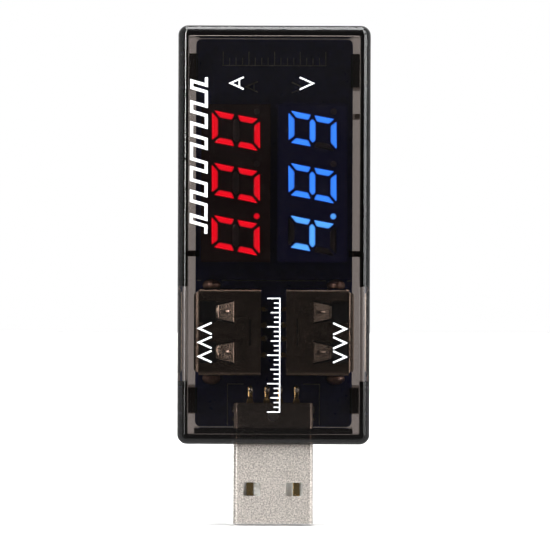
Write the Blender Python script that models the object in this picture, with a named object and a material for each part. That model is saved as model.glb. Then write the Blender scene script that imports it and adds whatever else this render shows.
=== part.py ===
"""A plug-in USB power meter: two three-digit displays and two side sockets in a smoked case.

+Z runs from the plug along the case, the displays face -Y, and +X is to their right.
The origin is the middle of the plug's section, on the plane of the case's lower end.
"""
from math import cos, pi, radians, sin, tan

import bmesh
import bpy
from mathutils import Matrix, Vector

MM = 0.001

# Case
CASE_WIDTH = 28.9 * MM
CASE_LENGTH = 62.9 * MM
CASE_FRONT = -5.8 * MM
CASE_BACK = 7.4 * MM
WALL = 1.5 * MM
CORNER_RADIUS = 1.5 * MM
EDGE_FILLET = 1.1 * MM
SPLIT_Y = 0.8 * MM              # plane where the two covers meet
SEAM = 0.15 * MM                # air between the two covers
GAP = 0.1 * MM                  # air between small mating pieces

# Circuit board
BOARD_WIDTH = 23.7 * MM
BOARD_LOW_Z = 2.5 * MM
BOARD_HIGH_Z = 61.1 * MM
BOARD_FRONT = 2.6 * MM
BOARD_THICKNESS = 1.2 * MM
BOARD_BACK = BOARD_FRONT + BOARD_THICKNESS
BOARD_CORNER = 0.8 * MM
PIN_HOLE_RADIUS = 0.5 * MM
LEG_HOLE = 0.8 * MM             # width of the slots for the shells' legs
LEG_ROOM = 0.3 * MM             # how much longer than its leg such a slot is

# LED modules
MODULE_X = 5.75 * MM            # from the middle of the case to a module's middle
MODULE_Z = 39.25 * MM
MODULE_WIDTH = 10.4 * MM
MODULE_LENGTH = 23.7 * MM
MODULE_FACE = -3.6 * MM
MODULE_WALL = 0.6 * MM
MODULE_LID = 0.8 * MM           # thickness of the windowed face
BASE_THICKNESS = 1.0 * MM
DIGIT_PITCH = 7.87 * MM
DIGIT_HEIGHT = 7.3 * MM
DIGIT_WIDTH = 4.9 * MM
DIGIT_SLANT = radians(10.5)
SEGMENT_WIDTH = 0.95 * MM
SEGMENT_GAP = 0.2 * MM
POINT_RADIUS = 0.5 * MM
POINT_OFFSET = (2.9 * MM, -3.15 * MM)    # along the reading direction, and up
PIN_ROW = 3.81 * MM
PIN_PITCH = 2.54 * MM
PINS_PER_ROW = 6
PIN_SIZE = 0.5 * MM
PIN_TIP_Y = 4.9 * MM

# USB-A plug
PLUG_WIDTH = 12.0 * MM
PLUG_HEIGHT = 4.5 * MM
PLUG_TIP_Z = -12.0 * MM
PLUG_REAR_Z = 6.15 * MM
PLUG_CORNER = 0.6 * MM
PLUG_WINDOW_X = 3.2 * MM
PLUG_WINDOW_Z = -6.8 * MM
PLUG_WINDOW = (2.5 * MM, 2.0 * MM)
PLUG_LOCK_Z = 4.3 * MM
PLUG_LOCK_RADIUS = 0.8 * MM
PLUG_LEG_SPAN = (3.7 * MM, 5.3 * MM)
PLUG_FEET_SPAN = (6.6 * MM, 8.5 * MM)    # where the contacts lie on the board
SHEET = 0.3 * MM
CONTACT_PITCHES = (-3.5 * MM, -1.0 * MM, 1.0 * MM, 3.5 * MM)
CONTACT_WIDTH = 1.0 * MM
CONTACT_THICKNESS = 0.25 * MM
CONTACT_SLOT = 1.3 * MM         # width of the grooves that the contacts lie in
LEG_TIP_Y = 4.6 * MM            # how far legs reach through the board

# USB-A sockets
SOCKET_Z = 16.85 * MM
SOCKET_WIDTH = 13.1 * MM
SOCKET_FRONT = -3.5 * MM
SOCKET_BACK = 2.3 * MM
SOCKET_MOUTH_X = 12.0 * MM
SOCKET_REAR_X = 1.9 * MM
SOCKET_CORNER = 0.6 * MM
SOCKET_LEG_X = (8.7 * MM, 10.1 * MM)
SOCKET_PIN_X = 1.4 * MM
SOCKET_PIN_WIDTH = 0.6 * MM
TONGUE_HALF_WIDTH = 5.55 * MM
TONGUE_FRONT = -2.53 * MM
TONGUE_BACK = -0.69 * MM
FINGER_OFFSET = 3.03 * MM       # from the socket's middle to each spring finger's middle
FINGER_ROOT_X = 5.9 * MM
FINGER_TIP_X = 8.7 * MM
FINGER_WINDOW_X = 11.0 * MM
PORT_LOW_Z = 9.5 * MM           # cut-outs in the covers' side walls
PORT_HIGH_Z = 23.7 * MM
PORT_FRONT = -4.1 * MM
PORT_BACK = 2.9 * MM
PORT_SKIN = 0.75 * MM           # what is left of the back cover's side walls behind the ports

# Snap arms, as (low z, high z) of each arm on either side
SNAP_SPANS = ((4.7 * MM, 8.5 * MM), (53.7 * MM, 58.7 * MM))
RIB_SPAN = (28.2 * MM, 29.1 * MM)
SINGLE_RIB_SPAN = (49.0 * MM, 49.9 * MM)
RIB_END_Y = 0.6 * MM            # where the front cover's ribs stop
CATCH_DEPTH = 0.55 * MM         # how far the snap catches go into the front cover's wall
EMBED = 0.3 * MM                # how far a rib or arm runs into the wall that carries it
RAIL_HALF_LENGTH = 11.2 * MM    # rails beside the board's two ends

PLANES = {
    # rows: where the outline's first and second coordinate and its thickness go
    "XZ": Matrix(((1, 0, 0), (0, 0, -1), (0, 1, 0))).to_4x4(),
    "YZ": Matrix(((0, 0, 1), (1, 0, 0), (0, 1, 0))).to_4x4(),
    "XY": Matrix.Identity(4),
}


# ---------------------------------------------------------------- scene and materials

def clear_scene():
    for obj in list(bpy.data.objects):
        bpy.data.objects.remove(obj, do_unlink=True)


def new_collection(name):
    collection = bpy.data.collections.new(name)
    bpy.context.scene.collection.children.link(collection)
    return collection


def make_material(name, colour, roughness, metallic=0.0, alpha=1.0):
    material = bpy.data.materials.new(name)
    material.use_nodes = True
    material.diffuse_color = (*colour, alpha)
    shader = material.node_tree.nodes["Principled BSDF"]
    shader.inputs["Base Color"].default_value = (*colour, 1.0)
    shader.inputs["Roughness"].default_value = roughness
    shader.inputs["Metallic"].default_value = metallic
    shader.inputs["Alpha"].default_value = alpha
    return material


clear_scene()
PARTS = new_collection("usb_power_meter")
CUTTERS = new_collection("cutters")

SMOKED = make_material("smoked_plastic", (0.05, 0.045, 0.04), 0.15, alpha=0.5)
MASK = make_material("solder_mask", (0.01, 0.012, 0.025), 0.35)
BLACK = make_material("black_moulding", (0.012, 0.012, 0.014), 0.5)
RED_EPOXY = make_material("red_epoxy", (0.8, 0.01, 0.02), 0.3)
BLUE_EPOXY = make_material("blue_epoxy", (0.05, 0.25, 1.0), 0.3)
NICKEL = make_material("nickel_plate", (0.62, 0.6, 0.57), 0.3, metallic=1.0)
GOLD = make_material("gold_plate", (0.85, 0.6, 0.25), 0.25, metallic=1.0)
WHITE = make_material("white_insulator", (0.75, 0.74, 0.7), 0.5)
CHIP = make_material("chip_moulding", (0.02, 0.02, 0.021), 0.6)
CERAMIC = make_material("tan_ceramic", (0.42, 0.3, 0.18), 0.45)


# ---------------------------------------------------------------- modelling helpers

def finish_mesh(name, mesh, material=None):
    """Link a finished mesh as a part, or as a cutter where it has no material."""
    obj = bpy.data.objects.new(name, mesh)
    if material is None:
        CUTTERS.objects.link(obj)
        obj.hide_render = True
        obj.display_type = "WIRE"
    else:
        PARTS.objects.link(obj)
        mesh.materials.append(material)
    return obj


def block(name, low, high, material=None):
    """A box between two corners, drawn from a unit cube."""
    mesh = bpy.data.meshes.new(name)
    bm = bmesh.new()
    add_block(bm, low, high)
    bm.to_mesh(mesh)
    bm.free()
    return finish_mesh(name, mesh, material)


def add_block(bm, low, high):
    low, high = Vector(low), Vector(high)
    size = Matrix.Diagonal((*(high - low), 1.0))
    matrix = Matrix.Translation((low + high) / 2) @ size
    return bmesh.ops.create_cube(bm, size=1.0, matrix=matrix)["verts"]


def blocks(name, corners, material=None):
    """Several boxes in one mesh; they must stay clear of each other."""
    mesh = bpy.data.meshes.new(name)
    bm = bmesh.new()
    for low, high in corners:
        add_block(bm, low, high)
    bm.to_mesh(mesh)
    bm.free()
    return finish_mesh(name, mesh, material)


def extruded(name, loops, plane, low, high, material=None):
    """Flat outlines, filled (a loop inside a loop is a hole), thickened from low to high."""
    curve = bpy.data.curves.new(name, "CURVE")
    curve.dimensions = "2D"
    curve.fill_mode = "BOTH"
    curve.extrude = (high - low) / 2
    for loop in loops:
        spline = curve.splines.new("POLY")
        spline.points.add(len(loop) - 1)
        spline.use_cyclic_u = True
        for point, (first, second) in zip(spline.points, loop):
            point.co = (first, second, 0.0, 1.0)
    holder = bpy.data.objects.new(name + "_outline", curve)
    PARTS.objects.link(holder)
    bpy.context.view_layer.update()
    mesh = bpy.data.meshes.new_from_object(holder.evaluated_get(bpy.context.evaluated_depsgraph_get()))
    bpy.data.objects.remove(holder, do_unlink=True)
    middle = (low + high) / 2
    if plane == "XZ":
        middle = -middle
    mesh.transform(PLANES[plane] @ Matrix.Translation((0, 0, middle)))
    bm = bmesh.new()
    bm.from_mesh(mesh)
    bmesh.ops.remove_doubles(bm, verts=bm.verts, dist=0.001 * MM)
    bm.to_mesh(mesh)
    bm.free()
    return finish_mesh(name, mesh, material)


def combine(target, tool, operation):
    modifier = target.modifiers.new(tool.name, "BOOLEAN")
    modifier.operation = operation
    modifier.solver = "EXACT"
    modifier.object = tool


def cut(target, tool):
    combine(target, tool, "DIFFERENCE")


def join(target, tool):
    combine(target, tool, "UNION")


def rounded_case(name, low, high, corner, fillet, material=None):
    """A box with round corners seen from the front and a fillet round both large faces."""
    mesh = bpy.data.meshes.new(name)
    bm = bmesh.new()
    add_block(bm, low, high)
    upright = [edge for edge in bm.edges if is_along_y(edge)]
    bmesh.ops.bevel(bm, geom=upright, offset=corner, segments=4, profile=0.5, affect="EDGES")
    rims = [edge for edge in bm.edges if is_rim(edge, low[1], high[1])]
    bmesh.ops.bevel(bm, geom=rims, offset=fillet, segments=4, profile=0.5, affect="EDGES")
    bm.to_mesh(mesh)
    bm.free()
    return finish_mesh(name, mesh, material)


def is_along_y(edge):
    direction = edge.verts[1].co - edge.verts[0].co
    return abs(direction.y) > abs(direction.x) + abs(direction.z)


def is_rim(edge, front, back):
    ys = [vert.co.y for vert in edge.verts]
    return any(all(abs(y - plane) < 0.01 * MM for y in ys) for plane in (front, back))


def rounded_rectangle(centre, width, height, radius, steps=4):
    """Corner points of a rectangle with round corners, anticlockwise."""
    points = []
    for corner in range(4):
        side_x = 1 if corner in (0, 3) else -1
        side_y = 1 if corner in (0, 1) else -1
        hub_x = centre[0] + side_x * (width / 2 - radius)
        hub_y = centre[1] + side_y * (height / 2 - radius)
        for step in range(steps + 1):
            angle = (corner + step / steps) * pi / 2
            points.append((hub_x + radius * cos(angle), hub_y + radius * sin(angle)))
    return points


def circle(centre, radius, steps=8):
    angles = [2 * pi * (step + 0.5) / steps for step in range(steps)]
    return [(centre[0] + radius * cos(a), centre[1] + radius * sin(a)) for a in angles]


def rectangle(low, high):
    return [low, (high[0], low[1]), high, (low[0], high[1])]


def span(side, near, far):
    """Low and high x of something between two distances from the middle, on one side."""
    return min(side * near, side * far), max(side * near, side * far)


# ---------------------------------------------------------------- covers

def case_body(name, low_y, high_y):
    """One cover: half of the rounded case, hollowed, with its port and plug cut-outs."""
    half = CASE_WIDTH / 2
    outer = rounded_case(name, (-half, CASE_FRONT, 0.0), (half, CASE_BACK, CASE_LENGTH),
                         CORNER_RADIUS, EDGE_FILLET, SMOKED)
    inner = rounded_case(name + "_hollow",
                         (-half + WALL, CASE_FRONT + WALL, WALL),
                         (half - WALL, CASE_BACK - WALL, CASE_LENGTH - WALL),
                         CORNER_RADIUS - 1.0 * MM, EDGE_FILLET - 0.7 * MM)
    cut(outer, inner)
    far = CASE_LENGTH
    other_half = block(name + "_split", (-far, low_y, -far), (far, high_y, 2 * far))
    cut(outer, other_half)
    ports = block(name + "_ports", (-far, PORT_FRONT, PORT_LOW_Z), (far, PORT_BACK, PORT_HIGH_Z))
    cut(outer, ports)
    slot_x = PLUG_WIDTH / 2 + 0.3 * MM
    slot_y = PLUG_HEIGHT / 2 + 0.3 * MM
    slot = block(name + "_plug_slot", (-slot_x, -slot_y, -far), (slot_x, slot_y, 2 * WALL))
    cut(outer, slot)
    return outer


def make_front_cover():
    cover = case_body("front_cover", SPLIT_Y - SEAM / 2, CASE_LENGTH)
    inner_x = CASE_WIDTH / 2 - WALL
    catches = []
    ribs = []
    for side in (-1, 1):
        low_x, high_x = span(side, inner_x - 1.0 * MM, inner_x + CATCH_DEPTH)
        for low_z, high_z in SNAP_SPANS:
            catches.append(((low_x, -2.4 * MM, low_z - 2 * GAP), (high_x, -1.0 * MM, high_z + 2 * GAP)))
        low_x, high_x = span(side, MODULE_X + MODULE_WIDTH / 2 + 0.3 * MM, inner_x + EMBED)
        ribs.append(((low_x, CASE_FRONT + WALL / 2, RIB_SPAN[0]), (high_x, RIB_END_Y, RIB_SPAN[1])))
    cut(cover, blocks("front_cover_catches", catches))
    join(cover, blocks("front_cover_ribs", ribs))


def make_back_cover():
    cover = case_body("back_cover", -CASE_LENGTH, SPLIT_Y + SEAM / 2)
    inner_x = CASE_WIDTH / 2 - WALL
    floor_y = CASE_BACK - WALL / 2
    arms = []
    barbs = []
    feet = []
    for side in (-1, 1):
        for low_z, high_z in SNAP_SPANS:
            low_x, high_x = span(side, inner_x - 0.85 * MM, inner_x - GAP)
            arms.append(((low_x, -2.8 * MM, low_z), (high_x, floor_y, high_z)))
            low_x, high_x = span(side, inner_x - 0.5 * MM, inner_x + CATCH_DEPTH - 2 * GAP)
            barbs.append(((low_x, -2.2 * MM, low_z + 2 * GAP), (high_x, -1.4 * MM, high_z - 2 * GAP)))
            low_x, high_x = span(side, inner_x - 0.5 * MM, inner_x + EMBED)
            feet.append(((low_x, SPLIT_Y + 4 * GAP, low_z + GAP), (high_x, floor_y, high_z - GAP)))
    join(cover, blocks("back_cover_arms", arms))
    join(cover, blocks("back_cover_barbs", barbs))
    join(cover, blocks("back_cover_arm_feet", feet))

    ledges = []
    ribs = []
    for side, (low_z, high_z) in ((-1, RIB_SPAN), (1, RIB_SPAN), (1, SINGLE_RIB_SPAN)):
        low_x, high_x = span(side, BOARD_WIDTH / 2 - 1.2 * MM, inner_x + EMBED)
        ledges.append(((low_x, BOARD_BACK + GAP, low_z), (high_x, floor_y, high_z)))
        low_x, high_x = span(side, BOARD_WIDTH / 2 + 0.3 * MM, inner_x + EMBED)
        ribs.append(((low_x, SPLIT_Y + 3 * GAP, low_z + GAP), (high_x, floor_y, high_z - GAP)))
    join(cover, blocks("back_cover_ledges", ledges))
    join(cover, blocks("back_cover_ribs", ribs))

    rails = []
    lower_end = (WALL - EMBED, BOARD_LOW_Z - GAP)
    upper_end = (BOARD_HIGH_Z + GAP, CASE_LENGTH - WALL + EMBED)
    for low_z, high_z in (lower_end, upper_end):
        rails.append(((-RAIL_HALF_LENGTH, BOARD_FRONT + GAP, low_z), (RAIL_HALF_LENGTH, floor_y, high_z)))
    join(cover, blocks("back_cover_rails", rails))

    pockets = []
    for side in (-1, 1):
        low_x, high_x = span(side, inner_x - MM, CASE_WIDTH / 2 - PORT_SKIN)
        pockets.append(((low_x, 0.0, PORT_LOW_Z), (high_x, CASE_BACK - WALL, PORT_HIGH_Z)))
    cut(cover, blocks("back_cover_port_pockets", pockets))


# ---------------------------------------------------------------- circuit board

def pin_places(module_x):
    """Where one module's pins go through the board, as (x, z)."""
    first = MODULE_Z - (PINS_PER_ROW - 1) / 2 * PIN_PITCH
    heights = [first + i * PIN_PITCH for i in range(PINS_PER_ROW)]
    return [(module_x + row * PIN_ROW, z) for row in (-1, 1) for z in heights]


def make_board():
    middle_z = (BOARD_LOW_Z + BOARD_HIGH_Z) / 2
    outline = rounded_rectangle((0.0, middle_z), BOARD_WIDTH, BOARD_HIGH_Z - BOARD_LOW_Z, BOARD_CORNER)
    holes = []
    for side in (-1, 1):
        pins = pin_places(side * MODULE_X)
        pins += [(side * SOCKET_PIN_X, SOCKET_Z + pitch) for pitch in CONTACT_PITCHES]
        holes += [circle(place, PIN_HOLE_RADIUS) for place in pins]
        low_x, high_x = span(side, SOCKET_LEG_X[0] - LEG_ROOM, SOCKET_LEG_X[1] + LEG_ROOM)
        for edge in (-1, 1):
            leg_z = SOCKET_Z + edge * (SOCKET_WIDTH - SHEET) / 2
            holes.append(rectangle((low_x, leg_z - LEG_HOLE / 2), (high_x, leg_z + LEG_HOLE / 2)))
        leg_x = side * (PLUG_WIDTH - SHEET) / 2
        low_z, high_z = PLUG_LEG_SPAN[0] - LEG_ROOM, PLUG_LEG_SPAN[1] + LEG_ROOM
        holes.append(rectangle((leg_x - LEG_HOLE / 2, low_z), (leg_x + LEG_HOLE / 2, high_z)))
    extruded("circuit_board", [outline] + holes, "XZ", BOARD_FRONT, BOARD_BACK, MASK)


# ---------------------------------------------------------------- LED modules

def segment_outlines():
    """The seven segments of an upright digit about its middle, as (reading direction, up)."""
    half_w, half_h, wide, gap = DIGIT_WIDTH / 2, DIGIT_HEIGHT / 2, SEGMENT_WIDTH, SEGMENT_GAP
    top = [(-half_w + 1.6 * gap, half_h), (half_w - 1.6 * gap, half_h),
           (half_w - wide - gap, half_h - wide), (-half_w + wide + gap, half_h - wide)]
    side = [(half_w, half_h - 1.6 * gap), (half_w, gap),
            (half_w - wide, gap + 0.42 * wide), (half_w - wide, half_h - wide - gap)]
    tip = half_w - wide / 2 - 0.6 * gap
    middle = [(-tip, 0.0), (-tip + wide / 2, wide / 2), (tip - wide / 2, wide / 2),
              (tip, 0.0), (tip - wide / 2, -wide / 2), (-tip + wide / 2, -wide / 2)]
    return {
        "a": top,
        "b": side,
        "c": [(u, -v) for u, v in side],
        "d": [(u, -v) for u, v in top],
        "e": [(-u, -v) for u, v in side],
        "f": [(-u, v) for u, v in side],
        "g": middle,
    }


def window_outlines(module_x, shrink=0.0):
    """Every window of a module, as loops of (x, z): digits read upwards, their tops at -X."""
    loops = []
    for digit in (-1, 0, 1):
        digit_z = MODULE_Z + digit * DIGIT_PITCH
        for outline in segment_outlines().values():
            points = inset(outline, shrink)
            loops.append([(module_x - v, digit_z + u + v * tan(DIGIT_SLANT)) for u, v in points])
        along, up = POINT_OFFSET
        loops.append(circle((module_x - up, digit_z + along), POINT_RADIUS - shrink))
    return loops


def inset(outline, distance):
    """The outline drawn in towards its middle by about a distance."""
    mid_u = sum(u for u, v in outline) / len(outline)
    mid_v = sum(v for u, v in outline) / len(outline)
    reach_u = max(abs(u - mid_u) for u, v in outline)
    reach_v = max(abs(v - mid_v) for u, v in outline)
    scale_u = (reach_u - distance) / reach_u
    scale_v = (reach_v - distance) / reach_v
    return [(mid_u + (u - mid_u) * scale_u, mid_v + (v - mid_v) * scale_v) for u, v in outline]


def make_module(name, side, epoxy_material):
    module_x = side * MODULE_X
    half_x, half_z = MODULE_WIDTH / 2, MODULE_LENGTH / 2
    low_x, high_x = module_x - half_x, module_x + half_x
    low_z, high_z = MODULE_Z - half_z, MODULE_Z + half_z
    rear = BOARD_FRONT - GAP
    case = block(name + "_case", (low_x, MODULE_FACE, low_z), (high_x, rear, high_z), BLACK)
    well = block(name + "_case_well",
                 (low_x + MODULE_WALL, MODULE_FACE + MODULE_LID, low_z + MODULE_WALL),
                 (high_x - MODULE_WALL, BOARD_BACK, high_z - MODULE_WALL))
    cut(case, well)
    cut(case, extruded(name + "_case_windows", window_outlines(module_x), "XZ",
                       MODULE_FACE - MODULE_LID, MODULE_FACE + 2 * MODULE_LID))

    margin = MODULE_WALL + GAP
    floor = rear - BASE_THICKNESS - 2 * GAP
    epoxy = block(name + "_epoxy", (low_x + margin, MODULE_FACE + MODULE_LID + GAP, low_z + margin),
                  (high_x - margin, floor, high_z - margin), epoxy_material)
    join(epoxy, extruded(name + "_epoxy_posts", window_outlines(module_x, GAP), "XZ",
                         MODULE_FACE + 0.05 * MM, MODULE_FACE + MODULE_LID + 5 * GAP))

    base = block(name + "_base", (low_x + margin, rear - BASE_THICKNESS - GAP, low_z + margin),
                 (high_x - margin, rear - GAP, high_z - margin), WHITE)
    half = PIN_SIZE / 2
    pins = [((x - half, rear - 4 * GAP, z - half), (x + half, PIN_TIP_Y, z + half))
            for x, z in pin_places(module_x)]
    join(base, blocks(name + "_pins", pins))


# ---------------------------------------------------------------- USB-A plug

def make_plug():
    outer = rounded_rectangle((0.0, 0.0), PLUG_WIDTH, PLUG_HEIGHT, PLUG_CORNER)
    inner = rounded_rectangle((0.0, 0.0), PLUG_WIDTH - 2 * SHEET, PLUG_HEIGHT - 2 * SHEET,
                              PLUG_CORNER - SHEET)
    shell = extruded("plug_shell", [outer, inner], "XY", PLUG_TIP_Z, PLUG_REAR_Z, NICKEL)
    half_x, half_z = PLUG_WINDOW[0] / 2, PLUG_WINDOW[1] / 2
    windows = [((x - half_x, -PLUG_HEIGHT, PLUG_WINDOW_Z - half_z),
                (x + half_x, PLUG_HEIGHT, PLUG_WINDOW_Z + half_z)) for x in (-PLUG_WINDOW_X, PLUG_WINDOW_X)]
    cut(shell, blocks("plug_shell_windows", windows))
    lock = circle((0.0, PLUG_LOCK_Z), PLUG_LOCK_RADIUS, 12)
    cut(shell, extruded("plug_shell_lock", [lock], "XZ", -PLUG_HEIGHT, -PLUG_HEIGHT / 2 + 2 * SHEET))
    legs = []
    for side in (-1, 1):
        low_x, high_x = span(side, PLUG_WIDTH / 2 - SHEET, PLUG_WIDTH / 2 - 0.01 * MM)
        legs.append(((low_x, PLUG_HEIGHT / 4, PLUG_LEG_SPAN[0]), (high_x, LEG_TIP_Y, PLUG_LEG_SPAN[1])))
    join(shell, blocks("plug_shell_legs", legs))

    inner_x = PLUG_WIDTH / 2 - SHEET - 0.15 * MM
    inner_y = PLUG_HEIGHT / 2 - SHEET - GAP
    insulator = block("plug_insulator", (-inner_x, -inner_y, 0.6 * MM),
                      (inner_x, inner_y, PLUG_REAR_Z - 0.15 * MM), WHITE)
    join(insulator, block("plug_tongue", (-inner_x, 0.0, PLUG_TIP_Z + 0.4 * MM),
                          (inner_x, inner_y, 1.0 * MM)))
    strip_front = -CONTACT_THICKNESS - GAP
    slots = [((x - CONTACT_SLOT / 2, strip_front - GAP, -MM), (x + CONTACT_SLOT / 2, 0.0, 8.0 * MM))
             for x in CONTACT_PITCHES]
    cut(insulator, blocks("plug_insulator_slots", slots))

    bend_z, foot_z = PLUG_FEET_SPAN
    foot_back = BOARD_FRONT - GAP
    foot_front = foot_back - CONTACT_THICKNESS
    for number, x in enumerate(CONTACT_PITCHES, start=1):
        tip_z = PLUG_TIP_Z + (1.2 * MM if number in (1, 4) else 2.2 * MM)
        profile = [(-GAP, tip_z), (-GAP, bend_z), (foot_back, bend_z), (foot_back, foot_z),
                   (foot_front, foot_z), (foot_front, bend_z + CONTACT_THICKNESS),
                   (strip_front, bend_z + CONTACT_THICKNESS), (strip_front, tip_z)]
        low_x, high_x = x - CONTACT_WIDTH / 2, x + CONTACT_WIDTH / 2
        extruded(f"plug_contact_{number}", [profile], "YZ", low_x, high_x, GOLD)


# ---------------------------------------------------------------- USB-A sockets

def make_socket(name, side):
    middle = ((SOCKET_FRONT + SOCKET_BACK) / 2, SOCKET_Z)
    height = SOCKET_BACK - SOCKET_FRONT
    outer = rounded_rectangle(middle, height, SOCKET_WIDTH, SOCKET_CORNER)
    inner = rounded_rectangle(middle, height - 2 * SHEET, SOCKET_WIDTH - 2 * SHEET,
                              SOCKET_CORNER - SHEET)
    low_x, high_x = span(side, SOCKET_REAR_X, SOCKET_MOUTH_X)
    shell = extruded(name + "_shell", [outer, inner], "YZ", low_x, high_x, NICKEL)
    cut(shell, extruded(name + "_finger_windows", finger_windows(side), "XZ",
                        SOCKET_FRONT - SHEET, SOCKET_FRONT + 2 * SHEET))
    legs = []
    for edge in (-1, 1):
        wall_z = SOCKET_Z + edge * SOCKET_WIDTH / 2
        low_z, high_z = min(wall_z, wall_z - edge * SHEET), max(wall_z, wall_z - edge * SHEET)
        low_x, high_x = span(side, *SOCKET_LEG_X)
        legs.append(((low_x, SOCKET_BACK - 1.5 * MM, low_z + 0.01 * MM),
                     (high_x, LEG_TIP_Y, high_z - 0.01 * MM)))
    join(shell, blocks(name + "_shell_legs", legs))

    inner_z = SOCKET_WIDTH / 2 - SHEET - 0.15 * MM
    low_x, high_x = span(side, SOCKET_REAR_X + 0.2 * MM, SOCKET_REAR_X + 1.7 * MM)
    insulator = block(name + "_insulator", (low_x, SOCKET_FRONT + SHEET + GAP, SOCKET_Z - inner_z),
                      (high_x, SOCKET_BACK - SHEET - GAP, SOCKET_Z + inner_z), BLACK)
    low_x, high_x = span(side, SOCKET_REAR_X + 1.0 * MM, SOCKET_MOUTH_X - 0.8 * MM)
    join(insulator, block(name + "_tongue", (low_x, TONGUE_FRONT, SOCKET_Z - TONGUE_HALF_WIDTH),
                          (high_x, TONGUE_BACK, SOCKET_Z + TONGUE_HALF_WIDTH)))
    strip_back = TONGUE_BACK + GAP + CONTACT_THICKNESS
    low_x, high_x = span(side, 0.5 * MM, SOCKET_REAR_X + 2.5 * MM)
    slots = []
    for pitch in CONTACT_PITCHES:
        low_z, high_z = SOCKET_Z + pitch - CONTACT_SLOT / 2, SOCKET_Z + pitch + CONTACT_SLOT / 2
        slots.append(((low_x, TONGUE_BACK, low_z), (high_x, strip_back + GAP, high_z)))
    cut(insulator, blocks(name + "_insulator_slots", slots))

    tip_x = SOCKET_MOUTH_X - 1.2 * MM
    near_x, far_x = SOCKET_PIN_X - CONTACT_THICKNESS / 2, SOCKET_PIN_X + CONTACT_THICKNESS / 2
    strip_front = strip_back - CONTACT_THICKNESS
    profile = [(tip_x, strip_front), (tip_x, strip_back), (far_x, strip_back),
               (far_x, LEG_TIP_Y), (near_x, LEG_TIP_Y), (near_x, strip_front)]
    profile = [(side * x, y) for x, y in profile]
    for number, pitch in enumerate(CONTACT_PITCHES, start=1):
        low_z, high_z = SOCKET_Z + pitch - SOCKET_PIN_WIDTH / 2, SOCKET_Z + pitch + SOCKET_PIN_WIDTH / 2
        extruded(f"{name}_contact_{number}", [profile], "XY", low_z, high_z, GOLD)


def finger_windows(side):
    """Openings that leave two tapered spring fingers, as loops of (x, z)."""
    root_half, tip_half = 1.5 * MM, 1.0 * MM
    loops = []
    for edge in (-1, 1):
        z = SOCKET_Z + edge * FINGER_OFFSET
        upper = [(FINGER_TIP_X, tip_half), (FINGER_ROOT_X, root_half),
                 (FINGER_ROOT_X, root_half + SHEET), (FINGER_WINDOW_X, tip_half + 1.3 * SHEET)]
        lower = [(x, -offset) for x, offset in reversed(upper)]
        loops.append([(side * x, z + offset) for x, offset in upper + lower])
    return loops


# ---------------------------------------------------------------- pieces on the board's back

def on_back(x, z, size_x, size_z, height, lift=GAP):
    """Corners of a box on the back of the board."""
    low = (x - size_x / 2, BOARD_BACK + lift, z - size_z / 2)
    return low, (x + size_x / 2, BOARD_BACK + lift + height, z + size_z / 2)


def make_leaded_chip(name, place, body, leads_per_side, pitch, reach, lead_width):
    """A moulded package with flat leads on its two x sides."""
    x, z = place
    low, high = on_back(x, z, body[0], body[1], body[2], lift=2 * GAP)
    chip = block(name, low, high, CHIP)
    leads = []
    for side in (-1, 1):
        for i in range(leads_per_side):
            lead_z = z + (i - (leads_per_side - 1) / 2) * pitch
            near, far = span(side, body[0] / 2 - 0.2 * MM, reach)
            leads.append(((x + near, BOARD_BACK + GAP, lead_z - lead_width / 2),
                          (x + far, BOARD_BACK + 0.45 * MM, lead_z + lead_width / 2)))
    join(chip, blocks(name + "_leads", leads))


def make_board_pieces():
    make_leaded_chip("microcontroller", (-1.6 * MM, 54.6 * MM), (4.4 * MM, 6.5 * MM, 1.0 * MM),
                     10, 0.65 * MM, 3.2 * MM, 0.3 * MM)
    make_leaded_chip("amplifier", (7.2 * MM, 54.6 * MM), (3.9 * MM, 4.9 * MM, 1.4 * MM),
                     4, 1.27 * MM, 3.0 * MM, 0.42 * MM)

    x, z = -8.6 * MM, 28.0 * MM
    low, high = on_back(x, z, 2.5 * MM, 4.5 * MM, 1.4 * MM)
    regulator = block("voltage_regulator", low, high, CHIP)
    tab_size = (1.4 * MM, 0.5 * MM, 0.35 * MM)
    tab_pitch = 1.5 * MM
    tabs = [on_back(x - 1.6 * MM, z + i * tab_pitch, *tab_size, lift=0.15 * MM) for i in (-1, 0, 1)]
    tabs.append(on_back(x + 1.5 * MM, z, 1.0 * MM, 1.8 * MM, 0.35 * MM, lift=0.15 * MM))
    join(regulator, blocks("voltage_regulator_tabs", tabs))

    chips = {
        "shunt_resistor": ((0.0, 27.8), (6.3, 3.1, 0.6), CHIP),
        "input_capacitor": ((-8.8, 6.2), (1.6, 3.2, 1.3), CERAMIC),
        "output_capacitor": ((8.8, 6.2), (1.6, 3.2, 1.3), CERAMIC),
        "regulator_capacitor": ((-4.9, 28.2), (1.25, 2.0, 0.9), CERAMIC),
        "controller_capacitor": ((2.9, 58.6), (2.0, 1.25, 0.9), CERAMIC),
        "amplifier_capacitor": ((7.2, 50.2), (2.0, 1.25, 0.9), CERAMIC),
    }
    for number in range(4):
        chips[f"segment_resistor_{number + 1}"] = ((0.0, 35.2 + 2.7 * number), (1.6, 0.8, 0.45), CHIP)
        chips[f"segment_resistor_{number + 5}"] = ((5.75, 35.2 + 2.7 * number), (1.6, 0.8, 0.45), CHIP)
    for number in range(2):
        chips[f"divider_resistor_{number + 1}"] = ((-8.6, 51.6 + 2.4 * number), (1.6, 0.8, 0.45), CHIP)
    for name, ((x, z), size, material) in chips.items():
        low, high = on_back(x * MM, z * MM, size[0] * MM, size[1] * MM, size[2] * MM)
        block(name, low, high, material)


make_front_cover()
make_back_cover()
make_board()
make_module("current_display", -1, RED_EPOXY)
make_module("voltage_display", 1, BLUE_EPOXY)
make_plug()
make_socket("left_socket", -1)
make_socket("right_socket", 1)
make_board_pieces()
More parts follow.
